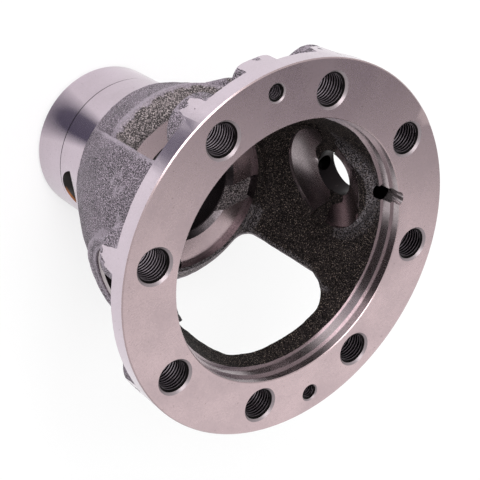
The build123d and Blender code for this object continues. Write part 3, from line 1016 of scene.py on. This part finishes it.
class CASE_OT_bolt_threads(bpy.types.Operator):
    """Threads of the eight large holes"""

    bl_idname = "differential_case.bolt_threads"
    bl_label = "Bolt Threads"

    def execute(self, context):
        thread = context.scene.thread_shape
        size = (thread.bolt_radius, thread.bolt_pitch)
        add_threads(context, "bolt_thread", size, BOLT_THREAD_ENDS, steps=44, places=BOLT_PLACES)
        return {"FINISHED"}


class CASE_OT_jack_threads(bpy.types.Operator):
    """Threads of the two small holes"""

    bl_idname = "differential_case.jack_threads"
    bl_label = "Jacking Threads"

    def execute(self, context):
        thread = context.scene.thread_shape
        size = (thread.jack_radius, thread.jack_pitch)
        add_threads(context, "jack_thread", size, JACK_THREAD_ENDS, steps=32, places=JACK_PLACES)
        return {"FINISHED"}


def turn_toward(place, aim, track):
    """Turn that points this axis from the place to the aim."""
    return (Vector(aim) - Vector(place)).to_track_quat(track, "Y").to_euler()


def add_lamp(name, place, aim, side, power):
    """A soft square lamp that faces its aim."""
    lamp = bpy.data.lights.new(name, "AREA")
    lamp.shape = "RECTANGLE"
    lamp.size = lamp.size_y = side
    lamp.energy = power
    holder = bpy.data.objects.new(name, lamp)
    bpy.context.collection.objects.link(holder)
    holder.location = place
    holder.rotation_euler = turn_toward(place, aim, "-Z")


def add_card(name, place, turn, radius, stretch=1.0, core=0.45):
    """A dark round card, solid to this share of its radius and fading from there, seen only in mirror-like metal."""
    bpy.ops.mesh.primitive_circle_add(vertices=48, radius=radius, fill_type="NGON", location=place, rotation=turn)
    card = bpy.context.object
    card.name = name
    card.scale = (stretch, 1.0, 1.0)
    material, tree, shader, spot = new_material("dark_card")
    shader.inputs["Base Color"].default_value = (0.04, 0.034, 0.08, 1.0)
    fade = ramp(tree, vector_length(tree, spot), core * radius, radius, start=0.97, end=0.0)
    tree.links.new(fade, shader.inputs["Alpha"])
    card.data.materials.append(material)
    card.visible_camera = card.visible_diffuse = card.visible_shadow = False


def floor_material(colour):
    """Pale floor that renders white and keeps the shadow, and is a little brighter in reflections."""
    material = bpy.data.materials.new("floor")
    material.use_nodes = True
    tree = material.node_tree
    tree.nodes.clear()
    matt = add_node(tree, "ShaderNodeBsdfDiffuse", Color=(*colour, 1.0))
    glow = add_node(tree, "ShaderNodeEmission", Color=(1.0, 1.0, 1.0, 1.0), Strength=1.0)
    seen = add_node(tree, "ShaderNodeLightPath")
    mirrored = calc(tree, "MULTIPLY", seen.outputs["Is Glossy Ray"], 0.2)
    share = calc(tree, "MULTIPLY_ADD", seen.outputs["Is Camera Ray"], 0.55, mirrored)
    mix = add_node(tree, "ShaderNodeMixShader", i0=share, i1=matt.outputs[0], i2=glow.outputs[0])
    made = tree.nodes.new("ShaderNodeOutputMaterial")
    tree.links.new(mix.outputs[0], made.inputs["Surface"])
    return material


def add_room(scene, strength):
    """Even light from all round, behind a white background."""
    white = (1.0, 1.0, 1.0, 1.0)
    world = bpy.data.worlds.new("room")
    scene.world = world
    world.use_nodes = True
    tree = world.node_tree
    light = tree.nodes["Background"]
    light.inputs["Color"].default_value = white
    light.inputs["Strength"].default_value = strength
    backdrop = add_node(tree, "ShaderNodeBackground", Color=white, Strength=1.0)
    seen = tree.nodes.new("ShaderNodeLightPath").outputs["Is Camera Ray"]
    mix = add_node(tree, "ShaderNodeMixShader", i0=seen, i1=light.outputs[0], i2=backdrop.outputs[0])
    tree.links.new(mix.outputs[0], tree.nodes["World Output"].inputs["Surface"])


def add_camera(scene, place, lens):
    """Camera at the photograph's place, with its right, up and back directions as solved for it."""
    axes = Matrix(((-0.7909, 0.1136, 0.6013), (-0.4076, -0.8307, -0.3792), (0.4563, -0.5451, 0.7033)))
    camera = bpy.data.objects.new("camera", bpy.data.cameras.new("camera"))
    scene.collection.objects.link(camera)
    camera.matrix_world = Matrix.Translation(place) @ axes.transposed().to_4x4()
    camera.data.sensor_fit = "HORIZONTAL"
    camera.data.sensor_width = 36.0
    camera.data.lens = lens
    scene.camera = camera


class CASE_OT_stage(bpy.types.Operator):
    """Floor, lamps, room and camera"""

    bl_idname = "differential_case.stage"
    bl_label = "Stage"

    def execute(self, context):
        scene = context.scene
        settings = scene.stage_settings
        deselect_all()
        bpy.ops.mesh.primitive_plane_add(size=6.0, location=(0, 0, -0.0002))
        floor = context.object
        floor.name = "floor"
        floor.data.materials.append(floor_material(settings.floor_colour))

        add_lamp("back softbox", place=(-0.42, 0.96, 0.72), aim=(0, 0, 0.12), side=0.9, power=1.2)
        add_lamp("front softbox", place=(0.2, -1.0, 0.55), aim=(0, 0, 0.08), side=0.9, power=3.0)
        add_lamp("key softbox", place=(0.22, -0.77, 0.85), aim=(0, 0, 0.1), side=0.7, power=6.0)

        high = (-0.578, 0.299, 0.88)
        add_card("high card", high, turn_toward(high, (0, 0, 0.12), "Z"), radius=0.29)
        on_floor = 0.0004
        near_turn, far_turn = (0, 0, radians(44)), (0, 0, radians(27))
        add_card("near card", (0.0375, -0.0389, on_floor), near_turn, radius=0.036, stretch=0.48, core=0.5)
        add_card("far card", (0.085, -0.168, on_floor), far_turn, radius=0.06, stretch=0.9)

        add_room(scene, settings.world_strength)
        add_camera(scene, settings.camera_place, settings.camera_lens)
        scene.view_settings.view_transform = "Standard"
        return {"FINISHED"}


class CASE_PT_panel(bpy.types.Panel):
    """Settings and steps of the differential case"""

    bl_label = "Differential Case"
    bl_idname = "CASE_PT_panel"
    bl_space_type = "VIEW_3D"
    bl_region_type = "UI"
    bl_category = "Differential Case"

    def draw(self, context):
        for operator in STEPS:
            self.layout.operator(operator.bl_idname)
        for key in SETTINGS:
            box = self.layout.box()
            settings = getattr(context.scene, key)
            for name in settings.bl_rna.properties.keys():
                if name not in ("rna_type", "name"):
                    box.prop(settings, name)


STEPS = (CASE_OT_body, CASE_OT_bolt_threads, CASE_OT_jack_threads, CASE_OT_stage)
SETTINGS = {
    "case_shape": CaseShape,
    "thread_shape": ThreadShape,
    "case_colours": CaseColours,
    "stage_settings": StageSettings,
}


def register():
    for made in (*SETTINGS.values(), *STEPS, CASE_PT_panel):
        bpy.utils.register_class(made)
    for key, made in SETTINGS.items():
        setattr(bpy.types.Scene, key, bpy.props.PointerProperty(type=made))


def unregister():
    for key in SETTINGS:
        delattr(bpy.types.Scene, key)
    for made in reversed((*SETTINGS.values(), *STEPS, CASE_PT_panel)):
        bpy.utils.unregister_class(made)


def main():
    register()
    bpy.ops.differential_case.body()
    bpy.ops.differential_case.bolt_threads()
    bpy.ops.differential_case.jack_threads()
    bpy.ops.differential_case.stage()


if __name__ == "__main__":
    main()
